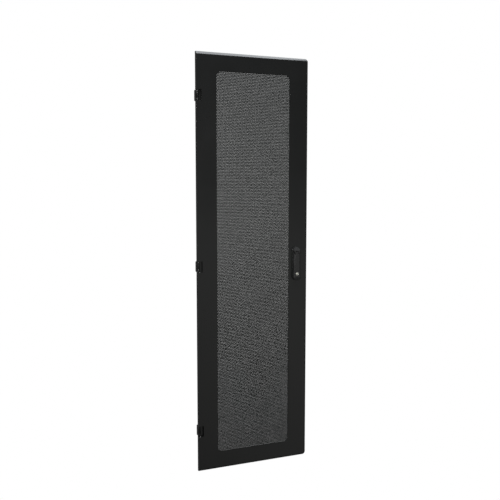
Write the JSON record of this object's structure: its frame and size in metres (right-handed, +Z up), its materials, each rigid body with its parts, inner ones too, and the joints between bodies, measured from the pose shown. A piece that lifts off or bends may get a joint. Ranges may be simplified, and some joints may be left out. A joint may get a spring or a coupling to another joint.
{
  "type": "perforated rack door",
  "caption": "Tall hinged rack door with a perforated window, three edge hinges, a swing handle with key lock and a rod latch.",
  "frame": {"origin": "midway between the two cabinet screws of the lower hinge, on the inner face of its frame leaf", "axes": "+X from the hinge side towards the lock side, +Y from the front to the back, +Z up"},
  "size_m": [0.58, 0.059, 2.01],
  "materials": {
    "door_coat": "semi-gloss charcoal powder coat",
    "mesh_coat": "satin powder coat on perforated sheet",
    "handle_coat": "fine-grained black enamel on die casting",
    "zinc_plate": "bright zinc plate",
    "lock_nickel": "satin nickel",
    "guide_plastic": "moulded black polyamide"
  },
  "bodies": {
    "cabinet_side": {"upper_frame_leaf": "door_coat", "middle_frame_leaf": "door_coat", "lower_frame_leaf": "door_coat", "upper_hinge_pin": "zinc_plate", "middle_hinge_pin": "zinc_plate", "lower_hinge_pin": "zinc_plate"},
    "door": {"door_pan": "door_coat", "perforated_sheet": "mesh_coat", "hinge_side_stiffener": "door_coat", "lock_side_stiffener": "door_coat", "top_rail": "door_coat", "bottom_rail": "door_coat", "upper_door_leaf": "door_coat", "middle_door_leaf": "door_coat", "lower_door_leaf": "door_coat", "door_leaf_screws": "zinc_plate", "door_leaf_nuts": "zinc_plate", "handle_base": "handle_coat", "handle_screws": "zinc_plate", "lock_barrel": "lock_nickel", "upper_rod_top_guide": "guide_plastic", "upper_rod_low_guide": "guide_plastic", "lower_rod_top_guide": "guide_plastic", "lower_rod_low_guide": "guide_plastic", "earth_stud": "zinc_plate"},
    "head": {"turning_head": "handle_coat", "latch_cam": "zinc_plate", "cam_rivets": "zinc_plate", "cam_washer": "zinc_plate", "cam_screw": "zinc_plate", "lever_pin": "zinc_plate"},
    "lever": {"swing_lever": "handle_coat"},
    "key": {"key_plug": "lock_nickel", "lock_tongue": "zinc_plate", "tongue_screw": "zinc_plate"},
    "top_bolt": {"upper_rod": "zinc_plate"},
    "bottom_bolt": {"lower_rod": "zinc_plate"}
  },
  "joints": [
    {"name": "door_swing", "type": "hinge", "parent": "cabinet_side", "child": "door", "pos_m": [0.003, -0.0235, 0], "axis": [0, 0, -1], "range_deg": [0, 130]},
    {"name": "handle_turn", "type": "hinge", "parent": "door", "child": "head", "pos_m": [0.5115, -0.03, 0.868], "axis": [0, 1, 0], "range_deg": [0, 90]},
    {"name": "lever_lift", "type": "hinge", "parent": "head", "child": "lever", "pos_m": [0.5115, -0.0425, 0.857], "axis": [-1, 0, 0], "range_deg": [0, 30]},
    {"name": "key_turn", "type": "hinge", "parent": "door", "child": "key", "pos_m": [0.5115, -0.03, 0.751], "axis": [0, 1, 0], "range_deg": [0, 90]},
    {"name": "upper_rod_slide", "type": "slide", "parent": "door", "child": "top_bolt", "axis": [0, 0, -1], "range_m": [0, 0.0228]},
    {"name": "lower_rod_slide", "type": "slide", "parent": "door", "child": "bottom_bolt", "axis": [0, 0, 1], "range_m": [0, 0.0228]}
  ],
  "couplings": [
    {"joint": "upper_rod_slide", "follows": "handle_turn", "m_per_rad": 0.014405},
    {"joint": "lower_rod_slide", "follows": "handle_turn", "m_per_rad": 0.014405}
  ]
}
